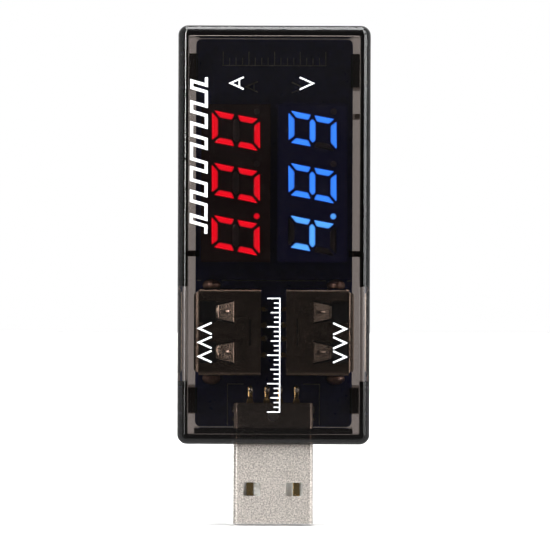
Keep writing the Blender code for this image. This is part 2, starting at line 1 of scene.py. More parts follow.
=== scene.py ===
"""The looks of a plug-in USB power meter with a smoked see-through case.

Sizes are in millimetres times MM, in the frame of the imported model: +Z runs from the plug
along the case, the displays face -Y, and +X is to their right.
"""
from math import cos, pi, radians, sin, tan

import bmesh
import bpy
from mathutils import Matrix, Vector


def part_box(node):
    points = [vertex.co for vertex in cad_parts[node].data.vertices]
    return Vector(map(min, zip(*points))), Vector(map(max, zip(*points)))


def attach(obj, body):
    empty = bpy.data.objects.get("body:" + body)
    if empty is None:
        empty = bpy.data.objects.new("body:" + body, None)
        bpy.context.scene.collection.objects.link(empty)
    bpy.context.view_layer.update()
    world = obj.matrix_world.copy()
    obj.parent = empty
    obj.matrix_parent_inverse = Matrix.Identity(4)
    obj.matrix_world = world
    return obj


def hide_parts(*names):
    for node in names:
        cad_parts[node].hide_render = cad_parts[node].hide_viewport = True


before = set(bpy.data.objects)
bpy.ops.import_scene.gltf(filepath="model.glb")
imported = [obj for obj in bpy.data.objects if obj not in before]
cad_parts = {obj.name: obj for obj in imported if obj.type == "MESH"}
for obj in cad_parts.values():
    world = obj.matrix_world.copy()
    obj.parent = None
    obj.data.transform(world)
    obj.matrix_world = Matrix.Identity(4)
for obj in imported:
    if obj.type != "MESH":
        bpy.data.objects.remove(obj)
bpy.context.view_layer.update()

MM = 0.001
HAIR = 0.001 * MM               # keeps shapes that meet from sharing a face
FAR = 0.1                       # well outside the object

# ---- places read from the frame

FRONT_LOW, FRONT_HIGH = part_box("front_cover")
_, BACK_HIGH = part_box("back_cover")
BOARD_LOW, BOARD_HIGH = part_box("circuit_board")
PLUG_LOW, PLUG_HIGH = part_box("plug_shell")
SOCKET_LOW, SOCKET_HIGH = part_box("right_socket_shell")

CASE_FRONT = FRONT_LOW.y
CASE_BACK = BACK_HIGH.y
CASE_TOP = FRONT_HIGH.z
HALF_WIDTH = FRONT_HIGH.x
SPLIT_Y = (FRONT_HIGH.y + 0.8 * MM) / 2
BOARD_FRONT = BOARD_LOW.y
BOARD_BACK = BOARD_HIGH.y
BOARD_HALF = BOARD_HIGH.x

# ---- driving sizes

WALL = 1.5 * MM
INNER_X = HALF_WIDTH - WALL
INNER_EDGE = 0.14 * MM          # the radius along the inner edges of the walls
CORNER_RADIUS = 1.5 * MM
EDGE_FILLET = 1.36 * MM
SEAM = 0.04 * MM                # the visible line between the covers
INK = 0.03 * MM                 # thickness of the printed marks

PORT_Y = (-4.1 * MM, 2.9 * MM)
PORT_Z = (9.5 * MM, 23.7 * MM)
PORT_SKIN = 0.75 * MM
SNAP_SPANS = ((4.7 * MM, 8.5 * MM), (53.7 * MM, 58.7 * MM))
RIB_SPAN = (28.2 * MM, 29.1 * MM)
SINGLE_RIB_SPAN = (49.0 * MM, 49.9 * MM)
RAIL_HALF_LENGTH = 11.9 * MM
RAIL_FRONT = -4.1 * MM
SNAP_FRONT = -2.8 * MM
CATCH_Y = (-2.4 * MM, -1.0 * MM)
BARB_Y = (-2.2 * MM, -1.4 * MM)
LEDGE_FRONT = BOARD_BACK + 0.1 * MM
CLEARANCE = 0.03 * MM
ROOT = 0.3 * MM                 # how far a rib or a ledge runs into its wall

MODULE_X = 5.75 * MM
MODULE_Z = 39.25 * MM
MODULE_WALL = 0.6 * MM
MODULE_LID = 0.8 * MM
PIN_ROW = 3.81 * MM
PIN_PITCH = 2.54 * MM
DIGIT_PITCH = 7.87 * MM
DIGIT_HEIGHT = 7.3 * MM
DIGIT_WIDTH = 4.9 * MM
DIGIT_SLANT = radians(10.5)
SEGMENT_WIDTH = 0.98 * MM
SEGMENT_GAP = 0.18 * MM
SEGMENT_ROUND = 0.3 * MM
POINT_RADIUS = 0.49 * MM
POINT_OFFSET = (2.9 * MM, -3.15 * MM)
RIM = 0.1 * MM                  # the dimmer edge of a lit segment
# the segments that glow in each digit, from the lowest digit up; the lowest digit's point glows too
LIT = {"current_display": ("abcdef", "abcdef", "abcdef"),
       "voltage_display": ("bcfg", "abcdefg", "abcdfg")}

SHEET = 0.3 * MM
PLUG_HALF_HEIGHT = 2.25 * MM
PLUG_CORNER = 0.6 * MM
PLUG_LOCK_Z = 4.3 * MM
CONTACT_PITCHES = (-3.5 * MM, -1.0 * MM, 1.0 * MM, 3.5 * MM)
CONTACT_THICKNESS = 0.25 * MM
LEG_X = 9.4 * MM                # the middle of a socket's soldered legs

SOCKET_Z = (SOCKET_LOW.z + SOCKET_HIGH.z) / 2
SOCKET_WIDTH = SOCKET_HIGH.z - SOCKET_LOW.z
SOCKET_FRONT = SOCKET_LOW.y
SOCKET_BACK = 2.3 * MM
SOCKET_REAR_X = SOCKET_LOW.x
SOCKET_MOUTH_X = SOCKET_HIGH.x
LIP_X = 11.3 * MM               # where the mouth's lips begin to flare
FINGER_OFFSET = 3.03 * MM
FINGER_ROOT = (5.95 * MM, 1.55 * MM)    # (distance from the middle, half width)
FINGER_TIP = (8.7 * MM, 0.97 * MM)
FINGER_DEPTH = 0.62 * MM        # how far the tips lean into the socket

PLANES = {
    "XZ": Matrix(((1, 0, 0), (0, 0, -1), (0, 1, 0))).to_4x4(),
    "YZ": Matrix(((0, 0, 1), (1, 0, 0), (0, 1, 0))).to_4x4(),
    "XY": Matrix.Identity(4),
}


# ---- material helpers

def feed(target, value):
    """Give a node's input a value, or another node's output."""
    if isinstance(value, bpy.types.NodeSocket):
        target.id_data.links.new(value, target)
    else:
        target.default_value = value


def put(node, values):
    for name, value in values.items():
        feed(node.inputs[name], value)


def add_node(tree, kind, values):
    """A shader node with its inputs given by name."""
    node = tree.nodes.new("ShaderNode" + kind)
    put(node, values)
    return node


def new_material(name, colour, roughness, metallic=0.0):
    material = bpy.data.materials.new(name)
    material.use_nodes = True
    shader = material.node_tree.nodes["Principled BSDF"]
    put(shader, {"Base Color": (*colour, 1.0), "Roughness": roughness, "Metallic": metallic})
    return material, shader


def noise(tree, scale, detail=3.0, stretch=(1.0, 1.0, 1.0)):
    """Noise on the piece's own coordinates; the scale is in features per millimetre."""
    place = add_node(tree, "TexCoord", {})
    mapping = add_node(tree, "Mapping", {"Vector": place.outputs["Object"],
                                         "Scale": [s / MM for s in stretch]})
    texture = add_node(tree, "TexNoise", {"Vector": mapping.outputs["Vector"],
                                          "Scale": scale, "Detail": detail})
    return texture.outputs["Fac"]


def ramp(tree, source, stops):
    """Colours between two stops of (place, colour)."""
    node = add_node(tree, "ValToRGB", {"Fac": source})
    for element, (place, colour) in zip(node.color_ramp.elements, stops):
        element.position = place
        element.color = (*colour, 1.0)
    return node.outputs["Color"]


def scaled(tree, source, low, high, start=0.3, end=0.7, curve="LINEAR"):
    """A value from low to high as the source goes from start to end."""
    node = add_node(tree, "MapRange", {"Value": source, "From Min": start, "From Max": end,
                                       "To Min": low, "To Max": high})
    node.interpolation_type = curve
    return node.outputs["Result"]


def bump(tree, shader, source, strength, distance):
    node = add_node(tree, "Bump", {"Strength": strength, "Distance": distance, "Height": source})
    put(shader, {"Normal": node.outputs["Normal"]})


# ---- materials

SMOKE_TINT = (0.3325, 0.269, 0.236, 1.0)
SMOKE_DENSITY = 800.0           # per metre


def smoked_plastic():
    """Clear grey-brown plastic: the tint is in its depth, so thick edges are darker than walls."""
    material, shader = new_material("smoked_plastic", (1.0, 1.0, 1.0), 0.02)
    tree = material.node_tree
    put(shader, {"Transmission Weight": 1.0, "IOR": 1.5,
                 "Roughness": scaled(tree, noise(tree, 0.7, 4.0), 0.004, 0.03)})
    bump(tree, shader, noise(tree, 0.12, 2.0), 0.12, 0.04 * MM)
    depth = add_node(tree, "VolumeAbsorption", {"Color": SMOKE_TINT, "Density": SMOKE_DENSITY})
    put(tree.nodes["Material Output"], {"Volume": depth.outputs["Volume"]})
    return material


def moulding(name, dark, light, roughness, grain=9.0, relief=0.015):
    """Moulded plastic with a fine grain and a slight change of tone."""
    material, shader = new_material(name, dark, roughness)
    tree = material.node_tree
    tone = ramp(tree, noise(tree, 0.9, 4.0), [(0.3, dark), (0.7, light)])
    fine = noise(tree, grain, 4.0)
    put(shader, {"Base Color": tone, "Roughness": scaled(tree, fine, roughness - 0.08, roughness + 0.1)})
    bump(tree, shader, fine, 0.25, relief * MM)
    return material


def plate(name, dark, light, rough_low, rough_high, stretch=(1.0, 1.0, 1.0), grain=6.0, relief=0.006):
    """Plated metal: a speckle of tone, roughness and relief, drawn out along the sheet."""
    material, shader = new_material(name, dark, rough_low, metallic=1.0)
    tree = material.node_tree
    fine = noise(tree, grain, 5.0, stretch)
    patches = noise(tree, grain * 0.3, 4.0, stretch)
    put(shader, {"Base Color": ramp(tree, fine, [(0.35, dark), (0.65, light)]),
                 "Roughness": scaled(tree, patches, rough_low, rough_high)})
    bump(tree, shader, fine, 0.5, relief * MM)
    return material


def plug_plate():
    """Plated steel: matt and speckled where it is bare; smooth inside the case, where a darker brown colour
    is painted shade.
    """
    material = plate("plug_nickel", (0.37, 0.335, 0.30), (0.82, 0.755, 0.695), 0.36, 0.48,
                     grain=4.5, relief=0.012)
    tree = material.node_tree
    shader = tree.nodes["Principled BSDF"]
    place = add_node(tree, "TexCoord", {})
    split = add_node(tree, "SeparateXYZ", {"Vector": place.outputs["Object"]})
    inside = scaled(tree, split.outputs["Z"], 0.0, 1.0, -0.2 * MM, 0.6 * MM)
    # inside the case the base colour is darker and browner as painted shade; the lower roughness there is
    # real
    for name, kind, covered in (("Base Color", "RGBA", (0.44, 0.38, 0.34, 1.0)),
                                ("Roughness", "FLOAT", 0.15)):
        bare = shader.inputs[name].links[0].from_socket
        change = add_node(tree, "Mix", {"Factor": inside})
        change.data_type = kind
        first, second = [end for end in change.inputs if end.enabled and end.name in "AB"]
        feed(first, bare)
        feed(second, covered)
        result = [end for end in change.outputs if end.enabled][0]
        put(shader, {name: result})
    return material


def display_face(name, bleed):
    """A module's black moulding, with a little of its own light coming through."""
    material = moulding(name, (0.003, 0.0025, 0.003), (0.007, 0.006, 0.007), 0.45)
    put(material.node_tree.nodes["Principled BSDF"],
        {"Specular IOR Level": 0.35, "Emission Color": (*bleed, 1.0), "Emission Strength": 0.8})
    return material


def glowing(name, rim, core, strength):
    """Cast epoxy lit from below; each segment's own glow runs from its rim to its middle."""
    material, shader = new_material(name, tuple(0.3 * c for c in core), 0.35)
    tree = material.node_tree
    glow = add_node(tree, "Attribute", {})
    glow.attribute_name = "glow"
    light = ramp(tree, glow.outputs["Fac"], [(0.0, rim), (1.0, core)])
    put(shader, {"Emission Color": light, "Emission Strength": strength})
    bump(tree, shader, noise(tree, 5.0, 3.0), 0.2, 0.01 * MM)
    return material


SMOKED = smoked_plastic()
MASK = moulding("solder_mask", (0.007, 0.012, 0.092), (0.011, 0.018, 0.120), 0.34, 2.5, 0.0005)
TRACE = moulding("masked_copper", (0.014, 0.022, 0.110), (0.022, 0.032, 0.140), 0.34, 2.5, 0.0005)
RED_FACE = display_face("red_display_face", (0.006, 0.0005, 0.0005))
BLUE_FACE = display_face("blue_display_face", (0.0015, 0.0015, 0.022))
UNLIT = moulding("unlit_epoxy", (0.11, 0.082, 0.086), (0.14, 0.106, 0.110), 0.4)
RED = glowing("red_light", (0.10, 0.0, 0.002), (1.0, 0.002, 0.017), 1.95)
BLUE = glowing("blue_light", (0.0, 0.002, 0.22), (0.040, 0.255, 1.0), 2.8)
PALE_BLUE = glowing("pale_blue_light", (0.001, 0.008, 0.28), (0.095, 0.42, 1.0), 2.7)
BASE_WHITE = moulding("display_base", (0.50, 0.49, 0.45), (0.58, 0.57, 0.52), 0.5)
PLUG_NICKEL = plug_plate()
SOCKET_NICKEL = plate("socket_nickel", (0.34, 0.28, 0.235), (0.46, 0.385, 0.325), 0.11, 0.17,
                      (0.4, 1.0, 1.0), 4.0, 0.002)
# gold plating, its colour darkened as painted shade so the contacts look dim
GOLD = plate("gold_plate", (0.42, 0.295, 0.13), (0.58, 0.42, 0.20), 0.1, 0.16, relief=0.001)
TIN = plate("tin_solder", (0.46, 0.43, 0.41), (0.68, 0.65, 0.62), 0.16, 0.32, grain=2.5, relief=0.004)
# solder on the socket legs, darker and browner than the other solder: painted shade
LEG_SOLDER = plate("socket_solder", (0.26, 0.17, 0.14), (0.36, 0.24, 0.20), 0.34, 0.48, grain=3.0)
BLACK_PLASTIC = moulding("black_insulator", (0.012, 0.012, 0.014), (0.022, 0.022, 0.025), 0.45)
WHITE_PLASTIC = moulding("white_insulator", (0.66, 0.65, 0.60), (0.74, 0.73, 0.69), 0.45)
CHIP_BLACK = moulding("chip_moulding", (0.018, 0.018, 0.019), (0.032, 0.031, 0.031), 0.6, grain=14.0)
FILM_BLACK = moulding("resistor_film", (0.02, 0.02, 0.024), (0.03, 0.03, 0.034), 0.35)
CERAMIC = moulding("tan_ceramic", (0.36, 0.25, 0.15), (0.46, 0.33, 0.21), 0.45)
SILK = moulding("silkscreen", (0.20, 0.20, 0.205), (0.30, 0.30, 0.31), 0.6)
INK_WHITE = moulding("white_ink", (0.80, 0.82, 0.84), (0.86, 0.88, 0.90), 0.5, 20.0, 0.004)


# ---- modelling helpers

def add_object(name, data):
    obj = bpy.data.objects.new(name, data)
    bpy.context.scene.collection.objects.link(obj)
    return obj


def mesh_object(name, bm):
    """An object with a bmesh's faces, which uses the bmesh up."""
    mesh = bpy.data.meshes.new(name)
    bm.to_mesh(mesh)
    bm.free()
    return add_object(name, mesh)


def piece(name, bm, material, replaces=(), bevel=0.0, smooth=35.0):
    """Turn a bmesh into a piece of the model that rides on the frame."""
    bm.normal_update()
    obj = mesh_object(name, bm)
    obj.data.materials.append(material)
    if bevel:
        edge = obj.modifiers.new("edge", "BEVEL")
        edge.width = bevel
        edge.segments = 2
        edge.limit_method = "ANGLE"
        edge.angle_limit = radians(40.0)
        apply_modifiers(obj)
    obj.data.shade_smooth()
    obj.data.set_sharp_from_angle(angle=radians(smooth))
    flat = obj.modifiers.new("flat_faces", "WEIGHTED_NORMAL")
    flat.weight = 80
    flat.keep_sharp = True
    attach(obj, "root")
    if replaces:
        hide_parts(*replaces)
    return obj


def apply_modifiers(obj):
    evaluated = obj.evaluated_get(bpy.context.evaluated_depsgraph_get())
    mesh = bpy.data.meshes.new_from_object(evaluated)
    old = obj.data
    obj.modifiers.clear()
    obj.data = mesh
    bpy.data.meshes.remove(old)


def boolean(bm, steps):
    """Cut or join a bmesh with others, given as ("DIFFERENCE" or "UNION", bmesh)."""
    target = mesh_object("target", bm)
    tools = []
    for operation, tool in steps:
        holder = mesh_object("tool", tool)
        tools.append(holder)
        modifier = target.modifiers.new("step", "BOOLEAN")
        modifier.operation = operation
        modifier.solver = "EXACT"
        modifier.object = holder
    apply_modifiers(target)
    result = bmesh.new()
    result.from_mesh(target.data)
    for obj in [target] + tools:
        mesh = obj.data
        bpy.data.objects.remove(obj, do_unlink=True)
        bpy.data.meshes.remove(mesh)
    return result


def merge(bm, other):
    """Add another bmesh's faces to this one."""
    mesh = bpy.data.meshes.new("merge")
    other.to_mesh(mesh)
    other.free()
    bm.from_mesh(mesh)
    bpy.data.meshes.remove(mesh)
    return bm


def add_block(bm, low, high):
    low, high = Vector(low), Vector(high)
    matrix = Matrix.Translation((low + high) / 2) @ Matrix.Diagonal((*(high - low), 1.0))
    return bmesh.ops.create_cube(bm, size=1.0, matrix=matrix)["verts"]


def face_out(bm):
    bmesh.ops.recalc_face_normals(bm, faces=bm.faces)


def blocks(corners):
    bm = bmesh.new()
    for low, high in corners:
        add_block(bm, low, high)
    return bm


def extruded(loops, plane, low, high):
    """Flat outlines, filled (a loop inside a loop is a hole), thickened from low to high."""
    curve = bpy.data.curves.new("outline", "CURVE")
    curve.dimensions = "2D"
    curve.fill_mode = "BOTH"
    curve.extrude = (high - low) / 2
    for loop in loops:
        spline = curve.splines.new("POLY")
        spline.points.add(len(loop) - 1)
        spline.use_cyclic_u = True
        for point, (first, second) in zip(spline.points, loop):
            point.co = (first, second, 0.0, 1.0)
    holder = add_object("outline", curve)
    bpy.context.view_layer.update()
    evaluated = holder.evaluated_get(bpy.context.evaluated_depsgraph_get())
    mesh = bpy.data.meshes.new_from_object(evaluated)
    bpy.data.objects.remove(holder, do_unlink=True)
    bpy.data.curves.remove(curve)
    middle = (low + high) / 2
    if plane == "XZ":
        middle = -middle
    mesh.transform(PLANES[plane] @ Matrix.Translation((0, 0, middle)))
    bm = bmesh.new()
    bm.from_mesh(mesh)
    bpy.data.meshes.remove(mesh)
    bmesh.ops.remove_doubles(bm, verts=bm.verts, dist=HAIR / 2)
    face_out(bm)
    return bm


def rounded_rectangle(centre, width, height, radius, steps=5):
    points = []
    for corner in range(4):
        side_x = 1 if corner in (0, 3) else -1
        side_y = 1 if corner in (0, 1) else -1
        hub_x = centre[0] + side_x * (width / 2 - radius)
        hub_y = centre[1] + side_y * (height / 2 - radius)
        for step in range(steps + 1):
            angle = (corner + step / steps) * pi / 2
            points.append((hub_x + radius * cos(angle), hub_y + radius * sin(angle)))
    return points


def circle(centre, radius, steps=16):
    angles = [2 * pi * (step + 0.5) / steps for step in range(steps)]
    return [(centre[0] + radius * cos(a), centre[1] + radius * sin(a)) for a in angles]


def rectangle(low, high):
    return [low, (high[0], low[1]), high, (low[0], high[1])]


def softened(outline, radius, steps=3):
    """The outline with each corner drawn as a short arc."""
    points = []
    count = len(outline)
    for i in range(count):
        before, here, after = (Vector(outline[(i + k) % count]) for k in (-1, 0, 1))
        into, out = (before - here), (after - here)
        reach = min(radius, 0.45 * into.length, 0.45 * out.length)
        start, end = here + into.normalized() * reach, here + out.normalized() * reach
        for step in range(steps + 1):
            t = step / steps
            point = start * (1 - t) ** 2 + here * (2 * t * (1 - t)) + end * t ** 2
            points.append((point.x, point.y))
    return points


def inset(outline, distance):
    """A convex outline moved inwards by a distance."""
    count = len(outline)
    middle = sum((Vector(p) for p in outline), Vector((0.0, 0.0))) / count
    points = []
    for i in range(count):
        before, here, after = (Vector(outline[(i + k) % count]) for k in (-1, 0, 1))
        normals = []
        for along in ((here - before).normalized(), (after - here).normalized()):
            normal = Vector((-along.y, along.x))
            normals.append(normal if normal.dot(middle - here) > 0 else -normal)
        inward = (normals[0] + normals[1]).normalized()
        move = min(distance / max(inward.dot(normals[0]), 0.6), 0.9 * (middle - here).length)
        points.append(tuple(here + inward * move))
    return points


def ribbon(points, width):
    """The outline of a thick line with mitred corners."""
    points = [Vector(p) for p in points]
    left, right = [], []
    last = len(points) - 1
    for i, here in enumerate(points):
        ways = []
        if i > 0:
            ways.append((here - points[i - 1]).normalized())
        if i < last:
            ways.append((points[i + 1] - here).normalized())
        normals = [Vector((-way.y, way.x)) for way in ways]
        across = sum(normals, Vector((0.0, 0.0))).normalized()
        across *= width / 2 / across.dot(normals[0])
        left.append(tuple(here + across))
        right.append(tuple(here - across))
    return left + right[::-1]


def span(side, near, far):
    return min(side * near, side * far), max(side * near, side * far)


def grown(ends, by):
    return ends[0] - by, ends[1] + by


def side_box(side, x_span, y_span, z_span):
    """A box's two corners, on the left for side -1 and on the right for side 1."""
    return tuple(zip(span(side, *x_span), y_span, z_span))


def skin(bm, rings):
    """Faces between each ring of vertices and the next."""
    for low, high in zip(rings, rings[1:]):
        for k in range(len(low)):
            j = (k + 1) % len(low)
            bm.faces.new((low[k], low[j], high[j], high[k]))


def rounded_case(low, high, corner, fillet, steps):
    """A box with round corners seen from the front and a fillet round both large faces."""
    bm = bmesh.new()
    add_block(bm, low, high)
    upright = [e for e in bm.edges if abs((e.verts[1].co - e.verts[0].co).y) > MM]
    bmesh.ops.bevel(bm, geom=upright, offset=corner, segments=steps, profile=0.5, affect="EDGES")
    rims = [e for e in bm.edges if len({round(v.co.y / MM, 3) for v in e.verts}) == 1]
    bmesh.ops.bevel(bm, geom=rims, offset=fillet, segments=steps, profile=0.5, affect="EDGES")
    return bm


def arc(start, end, bulge, steps=6):
    """Points from start to end along a curve that leaves their line by bulge."""
    a, b = Vector(start), Vector(end)
    normal = Vector((-(b - a).y, (b - a).x)).normalized()
    points = []
    for step in range(steps + 1):
        t = step / steps
        points.append(tuple(a.lerp(b, t) + normal * bulge * 4 * t * (1 - t)))
    return points


def bent_strip(path, halves, thickness, middle, plane="XY"):
    """A strip of sheet along a path of (x, y), or of (y, z) for plane YZ, with a half width at each
    point; the width runs along the third axis, about middle."""
    bm = bmesh.new()
    rings = []
    last = len(path) - 1
    for i, (point, half) in enumerate(zip(path, halves)):
        along = (Vector(path[min(i + 1, last)]) - Vector(path[max(i - 1, 0)])).normalized()
        across = Vector((-along.y, along.x)) * thickness / 2
        ring = []
        for lift, edge in ((-1, -1), (1, -1), (1, 1), (-1, 1)):
            first, second = Vector(point) + across * lift
            third = middle + edge * half
            ring.append(bm.verts.new(PLANES[plane] @ Vector((first, second, third))))
        rings.append(ring)
    skin(bm, rings)
    bm.faces.new(rings[0])
    bm.faces.new(rings[-1])
    face_out(bm)
    return bm


# ---- covers

def case_block():
    return rounded_case((-HALF_WIDTH, CASE_FRONT + INK, 0.0), (HALF_WIDTH, CASE_BACK, CASE_TOP),
                        CORNER_RADIUS, EDGE_FILLET, 12)


def cover_steps(low_y, high_y):
    """What hollows the case and takes away all but one cover of it."""
    inner = rounded_case((-INNER_X, CASE_FRONT + WALL + INK, WALL),
                         (INNER_X, CASE_BACK - WALL, CASE_TOP - WALL), 2 * INNER_EDGE, INNER_EDGE, 4)
    slot_x = PLUG_HIGH.x + 0.3 * MM
    slot_y = PLUG_HALF_HEIGHT + 0.3 * MM
    cuts = [inner] + [blocks([corners]) for corners in (
        ((-FAR, low_y, -FAR), (FAR, high_y, FAR)),
        ((-FAR, PORT_Y[0], PORT_Z[0]), (FAR, PORT_Y[1], PORT_Z[1])),
        ((-slot_x, -slot_y, -FAR), (slot_x, slot_y, 2 * WALL)),
    )]
    return [("DIFFERENCE", cut) for cut in cuts]


def front_cover():
    catches, ribs = [], []
    for side in (-1, 1):
        for ends in SNAP_SPANS:
            catches.append(side_box(side, (INNER_X - 1.0 * MM, INNER_X + 0.55 * MM), CATCH_Y,
                                    grown(ends, 0.2 * MM)))
        ribs.append(side_box(side, (11.25 * MM, INNER_X + ROOT), (CASE_FRONT + WALL / 2, 0.6 * MM),
                             RIB_SPAN))
    steps = cover_steps(SPLIT_Y - SEAM / 2, FAR)
    steps += [("DIFFERENCE", blocks(catches)), ("UNION", blocks(ribs))]
    piece("front_cover_clear", boolean(case_block(), steps), SMOKED, ["front_cover"])


def back_cover():
    floor_y = CASE_BACK - WALL / 2
    root_x = INNER_X + ROOT
    root_front = SPLIT_Y + 0.3 * MM
    arms, barbs, pads = [], [], []
    for side in (-1, 1):
        for ends in SNAP_SPANS:
            arms.append(side_box(side, (BOARD_HALF + 0.04 * MM, INNER_X - CLEARANCE),
                                 (SNAP_FRONT, floor_y), ends))
            pads.append(side_box(side, (BOARD_HALF - 0.35 * MM, INNER_X - CLEARANCE),
                                 (SNAP_FRONT, BOARD_FRONT - CLEARANCE), ends))
            pads.append(side_box(side, (BOARD_HALF - 0.5 * MM, root_x), (LEDGE_FRONT, floor_y),
                                 grown(ends, 0.3 * MM)))
            barbs.append(side_box(side, (INNER_X - 0.5 * MM, INNER_X + 0.35 * MM), BARB_Y,
                                  grown(ends, -0.2 * MM)))
    ledges, ribs = [], []
    for side, ends in ((-1, RIB_SPAN), (1, RIB_SPAN), (1, SINGLE_RIB_SPAN)):
        ledges.append(side_box(side, (BOARD_HALF - 1.2 * MM, root_x), (LEDGE_FRONT, floor_y), ends))
        ribs.append(side_box(side, (BOARD_HALF + 0.3 * MM, root_x), (root_front, floor_y),
                             grown(ends, -0.1 * MM)))
    rails, roots = [], []
    half = RAIL_HALF_LENGTH
    for ends in ((WALL, BOARD_LOW.z - CLEARANCE), (BOARD_HIGH.z + CLEARANCE, CASE_TOP - WALL)):
        rails.append(side_box(1, (-half, half), (RAIL_FRONT, floor_y), grown(ends, -CLEARANCE)))
    half -= 0.1 * MM
    upper = CASE_TOP - WALL
    for ends in ((WALL - ROOT, WALL + 0.1 * MM), (upper - 0.1 * MM, upper + ROOT)):
        roots.append(side_box(1, (-half, half), (root_front, floor_y), ends))
    pockets = [side_box(side, (INNER_X + 0.2 * MM, HALF_WIDTH - PORT_SKIN), (0.0, CASE_BACK - WALL), PORT_Z)
               for side in (-1, 1)]
    steps = cover_steps(-FAR, SPLIT_Y + SEAM / 2)
    steps += [("UNION", blocks(group)) for group in (arms, barbs, pads, ledges, ribs, rails, roots)]
    steps.append(("DIFFERENCE", blocks(pockets)))
    piece("back_cover_clear", boolean(case_block(), steps), SMOKED, ["back_cover"])


# ---- printed marks on the case

def letter_a(centre, size, line):
    """A letter A with its top to the left, as outlines of (x, z)."""
    x, z = centre
    foot, top = x + size / 2, x - size / 2
    bar_x = x + 0.17 * size
    reach = 0.27 * size
    return [ribbon([(foot, z - 0.45 * size), (top, z), (foot, z + 0.45 * size)], line),
            ribbon([(bar_x, z - reach), (bar_x, z + reach)], line)]


def letter_v(centre, size, line):
    """A letter V with its foot to the right."""
    x, z = centre
    half, reach = size / 2, 0.45 * size
    return [ribbon([(x - half, z - reach), (x + half, z), (x - half, z + reach)], line)]


def pulse_train(low_x, high_x, start_z, period, shares, lean, line):
    """A leaning square wave whose pulses widen and narrow, as one outline."""
    points = [(high_x, 0.0)]
    z = 0.0
    for share in shares:
        rest = period * (1 - share) / 2
        rise, fall = z + rest, z + period - rest
        points += [(high_x, rise), (low_x, rise), (low_x, fall), (high_x, fall)]
        z += period
    points.append((high_x, z))
    return ribbon([(x, start_z + z + (high_x - x) * tan(lean)) for x, z in points], line)


PULSE_X = (-12.4 * MM, -10.2 * MM)
PULSE_SHARES = (0.30, 0.42, 0.54, 0.66, 0.54, 0.42, 0.30)
UNIT_Z = 54.2 * MM
UNIT_SIZE = 2.0 * MM
ARROW_PITCH = 2.1 * MM
TICKS = 25
TICK_PITCH = 0.71 * MM
TICK_LINE = 0.17 * MM


def printed_marks():
    """White ink on the front: a pulse train, unit letters, arrow heads and a tick scale."""
    loops = [pulse_train(*PULSE_X, 31.6 * MM, 3.35 * MM, PULSE_SHARES, radians(16.0), 0.45 * MM)]
    loops += letter_a((-5.6 * MM, UNIT_Z), UNIT_SIZE, 0.23 * MM)
    loops += letter_v((4.8 * MM, UNIT_Z), UNIT_SIZE, 0.23 * MM)
    for side, middle_x in ((-1, -10.25 * MM), (1, 9.9 * MM)):
        tail_x, tip_x = middle_x - side * 0.95 * MM, middle_x + side * 0.95 * MM
        for number in (-1, 0, 1):
            z = 15.3 * MM + number * ARROW_PITCH
            loops.append(ribbon([(tail_x, z - 0.85 * MM), (tip_x, z), (tail_x, z + 0.85 * MM)], 0.26 * MM))
    base_x = 0.85 * MM
    first_z = 4.9 * MM
    last_z = first_z + (TICKS - 1) * TICK_PITCH
    loops.append(rectangle((base_x, first_z - TICK_LINE / 2), (base_x + TICK_LINE, last_z + TICK_LINE / 2)))
    for number in range(TICKS):
        z = first_z + number * TICK_PITCH
        length = (1.8 if number % 6 == 0 else 1.3 if number % 3 == 0 else 0.8) * MM
        loops.append(rectangle((base_x - length, z - TICK_LINE / 2), (base_x - HAIR, z + TICK_LINE / 2)))
    bm = bmesh.new()
    for loop in loops:
        merge(bm, extruded([loop], "XZ", CASE_FRONT, CASE_FRONT + INK - HAIR))
    piece("printed_marks", bm, INK_WHITE)


# ---- LED modules

def segment_outlines():
    """The seven segments of an upright digit about its middle, as (reading direction, up)."""
    half_w, half_h, wide, gap = DIGIT_WIDTH / 2, DIGIT_HEIGHT / 2, SEGMENT_WIDTH, SEGMENT_GAP
    top = [(-half_w + 1.6 * gap, half_h), (half_w - 1.6 * gap, half_h),
           (half_w - wide - gap, half_h - wide), (-half_w + wide + gap, half_h - wide)]
    side = [(half_w, half_h - 1.6 * gap), (half_w, gap),
            (half_w - wide, gap + 0.42 * wide), (half_w - wide, half_h - wide - gap)]
    tip = half_w - wide / 2 - 0.5 * gap
    middle = [(-tip, 0.0), (-tip + wide / 2, wide / 2), (tip - wide / 2, wide / 2),
              (tip, 0.0), (tip - wide / 2, -wide / 2), (-tip + wide / 2, -wide / 2)]

    def mirrored(outline, across, up):
        return [(across * u, up * v) for u, v in outline]

    return {"a": top, "b": side, "c": mirrored(side, 1, -1), "d": mirrored(top, 1, -1),
            "e": mirrored(side, -1, -1), "f": mirrored(side, -1, 1), "g": middle}


def module_windows(module_x):
    """Every window of a module as (digit, segment letter, loop of x and z)."""
    found = []
    for digit in (0, 1, 2):
        digit_z = MODULE_Z + (digit - 1) * DIGIT_PITCH
        for letter, outline in segment_outlines().items():
            loop = [(module_x - v, digit_z + u + v * tan(DIGIT_SLANT)) for u, v in outline]
            found.append((digit, letter, softened(loop, SEGMENT_ROUND)))
        along, up = POINT_OFFSET
        found.append((digit, "point", circle((module_x - up, digit_z + along), POINT_RADIUS, 24)))
    return found


def glow_pad(bm, layer, loop, front, back, brightness):
    """A segment's cast face: a post with a recessed rim, carrying how brightly it glows."""
    rings = []
    for distance, y, glow in ((0.0, back, 0.0), (0.0, front + 0.06 * MM, 0.0), (RIM, front, 0.62),
                              (2.6 * RIM, front, 1.0)):
        outline = inset(loop, distance) if distance else loop
        ring = []
        for x, z in outline:
            vert = bm.verts.new((x, y, z))
            vert[layer] = glow * brightness
            ring.append(vert)
        rings.append(ring)
    skin(bm, rings)
    bm.faces.new(rings[0])
    bm.faces.new(list(reversed(rings[-1])))


